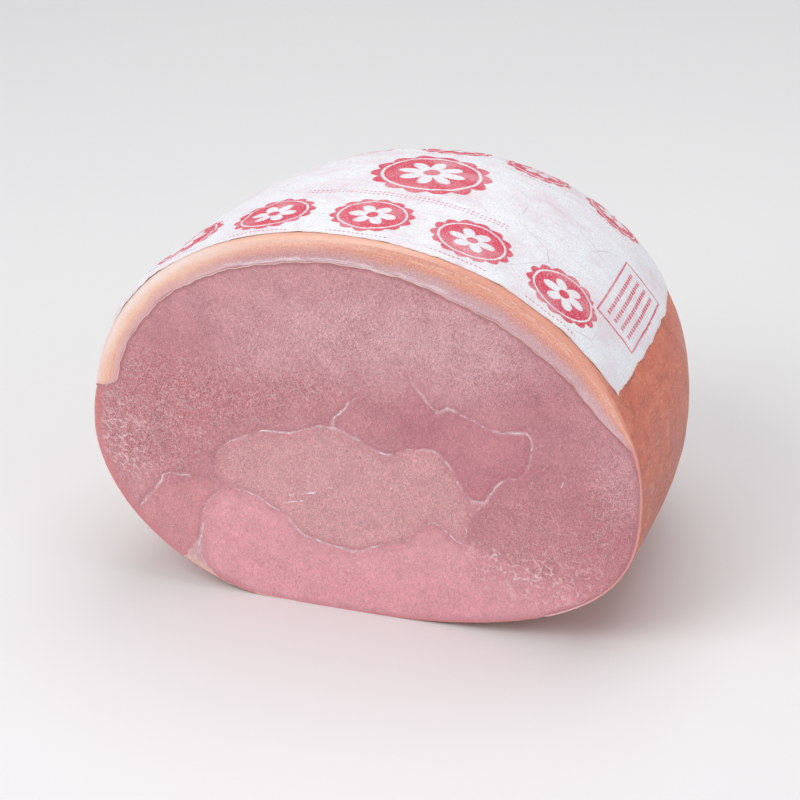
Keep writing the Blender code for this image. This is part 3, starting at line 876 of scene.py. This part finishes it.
tone = g.layers(
    tone,
    (hair * (coarse * 0.40 + 0.13 + frost * 0.10) * open_grain, (244, 208, 210)),
    (web * roughness.fade(0, 1, 0.14, 0.46), (244, 204, 209)),
    (grain.fade(0.58, 0.65) * roughness.fade(0, 1, 0.14, 0.55), (248, 218, 221)),
    (grain.fade(0.44, 0.34) * roughness.fade(0.2, 1, 0, 0.24), (166, 94, 106)),
    (net_line * 0.8, (248, 214, 217)),
    (seam.fade(4.5, 0.8) * 0.22, (196, 116, 132)),
    (seam_line, (243, 214, 218)),
    (under_fat, (178, 104, 114)),
    (rim.fade(3.6, 0.8) * bare_rim * 0.6, rim_tone),
    (rim.fade(1.3, 0.3) * bare_rim * 0.5, (230, 138, 144)),
    (strip * grain.fade(0.3, 0.6, 0.4, 0.9), strip_tone))
crust = g.layers(
    (205, 122, 110),
    (g.noise(spot, 0.07, 3).fade(0.35, 0.65), (222, 150, 136)),
    (mottle.fade(0.4, 0.65) * 0.4, (188, 104, 100)),
    (hair * 0.35, (238, 196, 184)),
    (open_grain * 0.3, (235, 190, 172)))
g.wire(shader, Base_Color=g.mix(g.read("on_face").fade(0.9, 0.1), tone, crust),
       Normal=g.bump(mottle * 0.4 + grain * 0.5 + hair * 0.25, 0.8, 0.0005),
       Roughness=mottle.fade(0.3, 0.7, 0.36, 0.52), Coat_Weight=0.12, Coat_Roughness=0.3,
       Subsurface_Weight=0.08, Subsurface_Radius=(1, 0.4, 0.3), Subsurface_Scale=0.002)
lean.data.materials.append(lean_material)
print("Lean material:", len(lean_material.node_tree.nodes), "nodes")

# %% [markdown]
# ## Fat and rind material
#
# On the cut the colour runs from the rind inwards: orange, peach, then pinkish fat that
# light shines through, and a thin white line next to the meat. The right side, the top and
# the left each have their own run of colours, as (place, red, green, blue).

# %% Colours of the fat on the cut
RIGHT_FAT = [(0, 232, 160, 142), (0.12, 238, 168, 146), (0.34, 232, 156, 132), (0.5, 224, 158, 150),
             (0.62, 216, 168, 170), (0.82, 214, 172, 180), (0.92, 212, 168, 178), (1, 188, 130, 142)]
TOP_FAT = [(0, 248, 206, 188), (0.14, 251, 194, 172), (0.3, 239, 170, 154), (0.46, 222, 160, 156),
           (0.62, 212, 156, 160), (0.8, 214, 172, 178), (0.92, 216, 176, 184), (1, 192, 134, 144)]
LEFT_FAT = [(0, 255, 232, 226), (0.14, 255, 226, 214), (0.3, 254, 214, 192), (0.44, 249, 200, 176),
            (0.56, 238, 188, 172), (0.72, 233, 182, 176), (0.9, 228, 170, 172), (1, 200, 136, 142)]
cap_material, g, shader, spot = new_material("fat_and_rind")
turn, inward, share = (g.read(key) for key in ("turn", "inward", "share"))
rind_place = g.values(g.node('ShaderNodeSeparateXYZ', {0: spot}))
streaks = g.noise(g.vector(turn * 0.2, inward * 1.7), 1, 3, 0.65)
sway = g.noise(g.vector(turn * 0.09, inward * 0.12), 1)
blotch, fine = g.noise(spot, 0.09, 2, 0.55), g.noise(spot, 2.6, 1)
band = share + (sway - 0.5) * 0.45 + (streaks - 0.5) * 0.10 + (fine - 0.5) * 0.10
left_mask = turn.fade(104, 132)
ragged = abs(band - 0.86).fade(0.12, 0.02) * streaks.fade(0.42, 0.56)
quiet = 1 - left_mask * 0.6
# Painted bounce light: low down, the thin fat on the cut and the rind beside it are lightened as if lit from
# the floor.
painted_bounce_light = rind_place["Z"].fade(34, 14)
thin_fat_and_bounce_light = g.mix(painted_bounce_light, (226, 158, 150), (244, 194, 194))
fat_tone = g.layers(
    g.ramp(band, RIGHT_FAT),
    (turn.fade(38, 24) * share.fade(0.3, 0.5) * 0.55, (228, 182, 190)),
    (turn.fade(38, 22) * share.fade(0.3, 0.1) * 0.5, (246, 186, 164)),
    (turn.fade(81, 100), g.ramp(band, TOP_FAT)),
    (left_mask, g.ramp(band, LEFT_FAT)),
    (turn.fade(156, 168) * share.fade(0.75, 0.5) * 0.5, (240, 180, 156)),
    (ragged * turn.fade(60, 80, 0.15, 0.9) * (1 - left_mask * 0.9), (246, 228, 234)),
    (share.fade(0.6, 0.05) * streaks.fade(0.53, 0.62) * (1 - left_mask * 0.7) * 0.65, (252, 214, 194)),
    (fine.fade(0.5, 0.72) * quiet * 0.36, (250, 226, 222)),
    (fine.fade(0.5, 0.3) * quiet * 0.22, (200, 124, 120)),
    # Thin fat shows as a light line, painted lighter still low down as bounce light from the floor.
    (g.read("thick").fade(4, 1.8), g.mix(share.fade(0.35, 0.7), thin_fat_and_bounce_light, (200, 128, 134))))
print("Fat colours laid")

# %% [markdown]
# ## Rind
#
# The outside is tan rind with blotches, drips, fine scratches and pores, and painted shade that darkens it
# low down.
# Next to the cut a thin pale edge shows, partly fat and partly a painted highlight on the rounded corner,
# lightened low down by painted bounce light from the floor, and the left flank turns cream there.

# %% Rind colours
hide = g.noise(spot, 1, 3, 0.7)
drips = g.stretched(spot, (0.3, 0.07, 0.12), 3, 0.6, 0.4)
scratches = g.stretched(spot, (2.2, 0.3, 1.2), 2, 0.6, 0.5)
pore_mask = fine.fade(0.45, 0.28)
behind = rind_place["Y"] + streaks * 2
cream_front = behind + (blotch - 0.5) * 50
fat_edge_and_highlight = g.mix(turn.fade(66, 84), (234, 172, 152), (249, 206, 186))
fat_edge_and_highlight = g.mix(left_mask, fat_edge_and_highlight, (252, 232, 226))
rind = g.layers(
    (215, 100, 76),
    # Painted shade: the rind is darkened low down, where it turns away from the lights.
    (rind_place["Z"].fade(112, 40), (166, 66, 58)),
    (blotch.fade(0.38, 0.68) * 0.6, (230, 134, 104)),
    (hide.fade(0.5, 0.68) * 0.36, (236, 160, 132)),
    (hide.fade(0.47, 0.32) * 0.4, (162, 78, 66)),
    (drips.fade(0.48, 0.66) * 0.65, (180, 90, 76)),
    (drips.fade(0.44, 0.3) * 0.3, (234, 160, 132)),
    (scratches.fade(0.56, 0.68) * 0.5, (240, 172, 146)),
    (fine.fade(0.5, 0.75) * 0.3, (236, 164, 138)),
    (pore_mask * 0.35, (160, 80, 68)),
    # Pale band beside the cut: partly the edge of the fat, partly a painted highlight on the rounded corner.
    (behind.fade(-82, -89) * turn.fade(16, 40) * 0.7, fat_edge_and_highlight),
    (behind.fade(-89.6, -91.4) * 0.85, fat_edge_and_highlight),
    # Painted bounce light from the floor on the low rind beside the cut.
    (painted_bounce_light * behind.fade(-86, -90.5) * 0.7, (240, 194, 190)),
    (turn.fade(138, 156) * cream_front.fade(-46, -84) * 0.85, (246, 214, 204)))
on_cut = g.read("cut").fade(0.45, 0.55)
tone = g.layers(rind, (on_cut, fat_tone), (share.fade(0.98, 0.995) * (1 - on_cut), (240, 214, 206)))
g.wire(shader, Base_Color=tone, Normal=g.bump(fine * 0.45 + streaks * 0.35 - pore_mask * 0.3, 0.55, 0.0005),
       Roughness=blotch.fade(0.35, 0.65, 0.4, 0.56), Coat_Weight=0.05, Coat_Roughness=0.3,
       Subsurface_Weight=0.2, Subsurface_Radius=(1, 0.5, 0.35), Subsurface_Scale=0.003)
cap.data.materials.append(cap_material)
print("Fat material:", len(cap_material.node_tree.nodes), "nodes")

# %% [markdown]
# ## A generic print for the paper
#
# The print is drawn with arithmetic, so it needs no picture and stays sharp at any size.
# A rosette has a scalloped edge, a pale ring and a small flower. Its group says how much
# ink lies at a place (U, V) from its middle.

# %% Rosette group
SCALLOPS = 14
rosette_group, g, given, result = new_tree("rosette", 'ShaderNodeTree', "U V Radius Petals", "Ink")
u, v, radius = given["U"], given["V"], given["Radius"]
reach = g.math('DIVIDE', g.math('SQRT', u * u + v * v), radius)
around = g.math('ARCTAN2', v, u)
scallop = abs(g.math('SINE', around * (SCALLOPS / 2))) * 0.12 + 0.88
soft_edge = g.math('DIVIDE', 0.3, radius)
petal = g.math('POWER', abs(g.math('COSINE', around * (given["Petals"] * 0.5))), 0.7) * 0.38 + 0.18
disc = (reach - scallop).fade(soft_edge, soft_edge * -1) * abs(reach - 0.8).fade(0.015, 0.035)
g.wire(result, Ink=g.most(disc * (reach - petal).fade(-0.03, 0.03), reach.fade(0.16, 0.12)))
print("Rosette group:", len(rosette_group.nodes), "nodes")

# %% [markdown]
# ## The printed paper
#
# A row of small rosettes runs along the front of the sheet and another along its back,
# with a larger rosette and dotted lines between them. A framed panel of dashed bars lies
# near the right edge. The print names nothing and stands for no maker.
# All places on the sheet are in millimetres, across the sheet and back from the cut.

# %% Print
ROW, STEP, ROW_MIDDLE, ROW_SHIFT = 102, 41, 26, 2.8
ROSETTE, BIG_ROSETTE, BIG_U, BIG_V = 16.8, 25, -4, 79
LINE_V, LINE_APART, SHORT_V = 49, 1.1, 7
PANEL_U, PANEL_V, PANEL_WIDE, PANEL_LONG, BAR_STEP = -104, 62, 11, 26, 4.2
paper_material, g, shader, spot = new_material("printed_paper")
u, v = g.read("print_u"), g.read("print_v")


def cell(value, step, shift):
    """Distance from the middle of the repeat that a point falls in."""
    return g.math('FLOORED_MODULO', value + shift, step) - step / 2


smear = (g.noise(spot, 0.8, 3, 0.6) - 0.5) * 0.9
u_ink, v_ink = u + smear, v + smear
u_cell, v_cell = cell(u_ink, STEP, STEP / 2 - ROW_SHIFT), cell(v_ink, ROW, ROW / 2 - ROW_MIDDLE)
u_big, v_big = u_ink - BIG_U, v_ink - BIG_V
left_of_panel = u_ink.fade(-101, -100)
row_ink = g.group(rosette_group, U=u_cell, V=v_cell, Radius=ROSETTE, Petals=6)["Ink"] * left_of_panel
big_ink = g.group(rosette_group, U=u_big, V=v_big, Radius=BIG_ROSETTE, Petals=8)["Ink"]
dots = g.math('SINE', u_ink * 3.4).fade(-0.3, 0.1)
long_line = abs(abs(v_ink - LINE_V) - LINE_APART).fade(0.5, 0.2) * dots * abs(u_big).fade(43, 42)
short_line = abs(v_cell + ROW_MIDDLE - SHORT_V).fade(0.5, 0.2) * dots * abs(u_cell).fade(13, 12)
panel_u, panel_v = u_ink - PANEL_U, abs(v_ink - PANEL_V)
panel = g.most(abs(panel_u) - PANEL_WIDE, panel_v - PANEL_LONG)
bars = abs(cell(panel_u, BAR_STEP, 0)).fade(1, 0.7) * panel_v.fade(21.5, 21)
bars *= abs(panel_u).fade(8.6, 8.4) * g.math('SINE', v_ink * 2.6).fade(-0.75, -0.55)
ink = g.most(row_ink, big_ink, long_line, short_line * left_of_panel) * panel.fade(2, 2.6)
ink = g.most(ink, abs(panel).fade(0.6, 0.3), bars)
worn = g.noise(spot, 1.6, 3, 0.75).fade(0.30, 0.5, 0.35, 1)
worn *= g.noise(spot, 0.05).fade(0.3, 0.6, 0.75, 1)
print("Print drawn with", len(paper_material.node_tree.nodes), "nodes")

# %% Paper material
pulp = g.stretched(spot, (1.1, 1.1, 2.2), 4, 0.7)
wrinkle = g.cracks(g.vector(u, v), 0.031).fade(0.016, 0.003) * g.noise(spot, 0.05).fade(0.45, 0.6)
sheet = g.layers(
    (238, 229, 241),
    (pulp.fade(0.36, 0.62), (255, 254, 255)),
    # Painted shade along the fine fold lines, which the bump also raises.
    (wrinkle * 0.4, (224, 204, 216)),
    (g.noise(spot, 0.045, 3, 0.6).fade(0.42, 0.7) * 0.55, (238, 212, 221)),
    (g.read("crease").fade(0.12, 0.35) * 0.5, (252, 250, 252)),
    (g.read("edge").fade(2, 0.2) * 0.35, (240, 214, 206)),
    (ink * worn, (226, 56, 88)))
height = pulp * 0.6 + g.noise(spot, 0.3, 3) * 0.6 + wrinkle * 0.6
g.wire(shader, Base_Color=sheet, Normal=g.bump(height, 0.65, 0.0006), Roughness=0.55,
       Subsurface_Weight=0.1, Subsurface_Scale=0.002)
paper.data.materials.append(paper_material)
print("Paper material:", len(paper_material.node_tree.nodes), "nodes")

# %% [markdown]
# ## Membrane along the seams
#
# Where two muscles meet, a thin white membrane shows on the cut.
# Geometry Nodes sweep a small round section along each seam line,
# so one tree makes every line and the section shrinks where the membrane fades.

# %% Geometry Nodes helpers
def point_number(graph, name):
    """Named number on the points of the geometry."""
    return graph.value('GeometryNodeInputNamedAttribute', {"Name": name}, data_type='FLOAT')


def close_tree(graph, geometry, material, result):
    """Ends a tree in real, coloured geometry."""
    real = graph.value('GeometryNodeRealizeInstances', {0: geometry})
    coloured = graph.value('GeometryNodeSetMaterial', {"Geometry": real, "Material": material})
    graph.wire(result, Geometry=coloured)


def grow(name, tree, source_mesh, **sizes):
    """Runs a tree on a mesh and keeps the result as a plain mesh object."""
    source = add_object(name + "_source", source_mesh)
    modifier = source.modifiers.new(tree.name, 'NODES')
    modifier.node_group = tree
    for item in tree.interface.items_tree:
        if item.in_out == 'INPUT' and item.name in sizes:
            modifier[item.identifier] = sizes[item.name]
    ready = source.evaluated_get(bpy.context.evaluated_depsgraph_get())
    mesh = bpy.data.meshes.new_from_object(ready)
    mesh.name = name
    bpy.data.objects.remove(source)
    print(name, len(mesh.polygons), "faces")
    return add_object(name, mesh)


print("Geometry helpers ready")

# %% Membrane material
membrane_material, g, shader, spot = new_material("membrane")
patches = g.noise(spot, 0.8, 3, 0.6)
g.wire(shader, Base_Color=g.mix(patches.fade(0.35, 0.65), (226, 182, 188), (248, 226, 228)),
       Roughness=patches.fade(0.3, 0.7, 0.25, 0.45), Subsurface_Weight=0.3,
       Subsurface_Radius=(1, 0.5, 0.4), Subsurface_Scale=0.002)
print("Membrane material ready")

# %% Membrane tree
MEMBRANE_THICKNESS, MEMBRANE_SINK, VEIN_BOOST = 0.00036, 0.04, 1.5
line_tree, g, given, result = new_tree("membrane_lines", 'GeometryNodeTree', "Geometry Thickness Material",
                                       "Geometry")
lines = g.value('GeometryNodeMeshToCurve', {0: given["Geometry"]})
section = g.value('GeometryNodeCurvePrimitiveCircle', {"Resolution": 6, "Radius": 1})
swept = g.value('GeometryNodeCurveToMesh', {
    "Curve": lines, "Profile Curve": section, "Fill Caps": True,
    "Scale": point_number(g, "strength") * given["Thickness"]})
close_tree(g, swept, given["Material"], result)

print("Membrane tree:", len(line_tree.nodes), "nodes")

# %% Membrane along the lines
line_points, line_edges, line_strength = [], [], []
for key, path in paths.items():
    boost = VEIN_BOOST if key.startswith("vein") else 1
    gap = distance_to(path[:, :2], rim_points[:, [0, 2]])
    height = face_relief(path[:, :2], 0 * gap, path[:, 2], gap)
    first, steps = len(line_points), np.arange(len(path))
    fade_ends = np.clip(np.minimum(steps, steps[::-1]) / 6, 0.15, 1)
    line = np.stack([path[:, 0], MEMBRANE_SINK - LENGTH / 2 - height, path[:, 1]], axis=-1)
    pulse = np.clip(0.5 + waves(line, (1.1, 13, 1.5), (1.2, 3.5, 3.5), (1.2, 1.1, 6.5)), 0.05, 1.8)
    line_points += line.tolist()
    line_edges += [(i, i + 1) for i in range(first, len(line_points) - 1)]
    line_strength += (boost * fade_ends * pulse * (0.35 + 0.65 * path[:, 2])).tolist()
line_mesh = bpy.data.meshes.new("seam_lines")
line_mesh.from_pydata((np.array(line_points) * MM).tolist(), line_edges, [])
add_numbers(line_mesh, {"strength": line_strength})
membrane = grow("seam_membrane", line_tree, line_mesh, Thickness=MEMBRANE_THICKNESS,
                Material=membrane_material)

# %% [markdown]
# ## Specks and strands on the cut
#
# Cooked ham shows tiny pale specks, partly grains of fat and partly painted glints of the moist cut, and on
# its coarse side short fibre ends.
# Bump alone would leave them flat, so both are real shapes with a few faces each. Geometry
# Nodes scatter them over the cut, thicker where the soft spots say so.

# %% Speck tree
SEED = 7


def scattered(name, seed):
    """Points on the cut, as dense as a named number says."""
    return g.value('GeometryNodeDistributePointsOnFaces', {
        "Mesh": given["Geometry"], "Density": point_number(g, name) * given["Density"], "Seed": seed})


def random_number(low, high, seed):
    """Random number between two limits, one for each point."""
    return g.value('FunctionNodeRandomValue', {2: low, 3: high, "Seed": seed}, 1, data_type='FLOAT')


def random_vector(low, high, seed):
    """Random vector between two limits, one for each point."""
    return g.value('FunctionNodeRandomValue', {0: low, 1: high, "Seed": seed}, data_type='FLOAT_VECTOR')


speck_tree, g, given, result = new_tree("specks", 'GeometryNodeTree', "Geometry Density Size Material",
                                        "Geometry")
grain_shape = g.value('GeometryNodeMeshIcoSphere', {"Radius": 1, "Subdivisions": 1})
grain_size = g.value('ShaderNodeVectorMath', {
    0: random_vector((0.5, 0.35, 0.5), (1.6, 0.5, 1.2), SEED + 1), "Scale": given["Size"]},
    operation='SCALE')
grains = g.value('GeometryNodeInstanceOnPoints', {
    "Points": scattered("speckle", SEED), "Instance": grain_shape, "Scale": grain_size,
    "Rotation": random_vector((0, -1.5, 0), (0, 1.5, 0), SEED + 2)})
close_tree(g, grains, given["Material"], result)

print("Speck tree:", len(speck_tree.nodes), "nodes")

# %% Strand tree
strand_tree, g, given, result = new_tree("strands", 'GeometryNodeTree',
                                         "Geometry Density Length Lean Material", "Geometry")
arc_curve = g.value('GeometryNodeCurveQuadraticBezier', {
    "Resolution": 4, "Start": (-0.5, 0.03, 0), "Middle": (0, -0.05, 0.12), "End": (0.5, 0.03, 0)})
thin_section = g.value('GeometryNodeCurvePrimitiveCircle', {"Resolution": 3, "Radius": 0.05})
strand = g.value('GeometryNodeCurveToMesh', {
    "Curve": arc_curve, "Profile Curve": thin_section, "Fill Caps": True})
strands_made = g.value('GeometryNodeInstanceOnPoints', {
    "Points": scattered("strandy", SEED + 3), "Instance": strand,
    "Rotation": g.vector(0, random_number(-1.1, 1.1, SEED + 4) + given["Lean"]),
    "Scale": random_number(0.4, 1.3, SEED + 5) * given["Length"]})
close_tree(g, strands_made, given["Material"], result)
print("Strand tree:", len(strand_tree.nodes), "nodes")

# %% Scatter over the cut
def numbers_on(mesh, key):
    """Named numbers read back from the points of a mesh."""
    values = np.empty(len(mesh.vertices), np.float32)
    mesh.attributes[key].data.foreach_get("value", values)
    return values


face_only = lean.data.copy()
on_face, frost, coarse, in_round, rim, deep, seam, power = (
    numbers_on(face_only, key) for key in "on_face frost coarse in_round rim deep seam power".split())
open_face = (on_face > 0.5) * smooth(rim, 0.5, 3)
speckle = open_face * np.clip(0.12 + frost + 0.4 * coarse + 1.6 * power * np.exp(-seam ** 2), 0, 2)
speckle = np.where(in_round < 0, np.maximum(0.3 * open_face, speckle * 0.6), speckle)
strandy = open_face * np.clip(0.08 + 0.9 * coarse - 0.4 * deep, 0, 1)
strandy = np.where(in_round < 0, np.maximum(strandy, 0.16), strandy)
add_numbers(face_only, {"speckle": speckle, "strandy": strandy})
print("Scatter weights:", round(float(speckle.mean()), 2), round(float(strandy.mean()), 2))

# %% Specks and strands
# The pale specks are partly fat and partly painted glints of the moist cut.
specks = grow("pale_specks_and_glints", speck_tree, face_only, Density=420000.0, Size=0.00015,
              Material=membrane_material)
fibre_ends = grow("fibre_ends", strand_tree, face_only, Density=240000.0, Length=0.0025, Lean=0.75,
                  Material=membrane_material)

# %% [markdown]
# ## Which CAD part each piece stands for
#
# The three main pieces replace the CAD solids. The lines, specks and strands only ride along.
# Nothing moves, so everything belongs to the one body.

# %% Attach the pieces
pieces = ((lean, "lean_meat"), (cap, "fat_cap"), (paper, "paper_wrap"), (membrane, "lean_meat"),
          (specks, "lean_meat"), (fibre_ends, "lean_meat"))
for piece, slot in pieces:
    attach(piece, "root")
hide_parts("lean_meat")
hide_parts("fat_cap")
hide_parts("paper_wrap")
print("Attached", len(pieces), "pieces")

# %% [markdown]
# ## Floor, light and camera
#
# A pale floor and three large soft lights show the relief without hard shadows.
# The camera looks down at the cut from the photo's angle, from slightly to the right.

# %% Floor
floor_mesh = bpy.data.meshes.new("floor")
floor_mesh.from_pydata([(-4, -4, 0), (4, -4, 0), (4, 4, 0), (-4, 4, 0)], [], [(0, 1, 2, 3)])
floor = add_object("floor", floor_mesh)
floor_material, g, shader, spot = new_material("pale_floor")
g.wire(shader, Base_Color=g.mix(g.noise(spot, 0.004), (236, 236, 238), (240, 240, 241)), Roughness=0.6)
floor_mesh.materials.append(floor_material)
print("Floor laid")

# %% Lights
AIM = Vector((0.016328, -0.092, 0.097075))
WORLD_LEVEL = 0.4
LIGHTS = [("key", (-0.75, -1.1, 1.15), 1.1, 13.4), ("top", (0.1, 0.35, 1.5), 1.3, 10),
          ("fill", (1.3, -0.6, 0.7), 1.2, 4)]
for name, place, size, power in LIGHTS:
    lamp = bpy.data.lights.new(name, 'AREA')
    lamp.size, lamp.energy = size, power
    holder = add_object(name, lamp)
    holder.location = place
    holder.rotation_euler = (AIM - Vector(place)).to_track_quat('-Z', 'Y').to_euler()
world = bpy.data.worlds.new("studio")
world.use_nodes = True
background = world.node_tree.nodes["Background"].inputs
background["Color"].default_value = (1, 1, 1, 1)
background["Strength"].default_value = WORLD_LEVEL
bpy.context.scene.world = world
bpy.context.scene.view_settings.view_transform = 'Standard'
print(len(LIGHTS), "lights")

# %% Camera
LENS, SENSOR, DISTANCE = 135.0, 36.0, 1.161624
AROUND, DOWN = math.radians(18.5), math.radians(25.5)
towards = Vector((math.sin(AROUND) * math.cos(DOWN), -math.cos(AROUND) * math.cos(DOWN), math.sin(DOWN)))
camera_data = bpy.data.cameras.new("camera")
camera_data.lens = LENS
camera_data.sensor_width = SENSOR
camera = add_object("camera", camera_data)
camera.location = AIM + towards * DISTANCE
camera.rotation_euler = (-towards).to_track_quat('-Z', 'Y').to_euler()
bpy.context.scene.camera = camera
print("Camera at", [round(v, 3) for v in camera.location])

# %% Finish
bpy.context.view_layer.update()
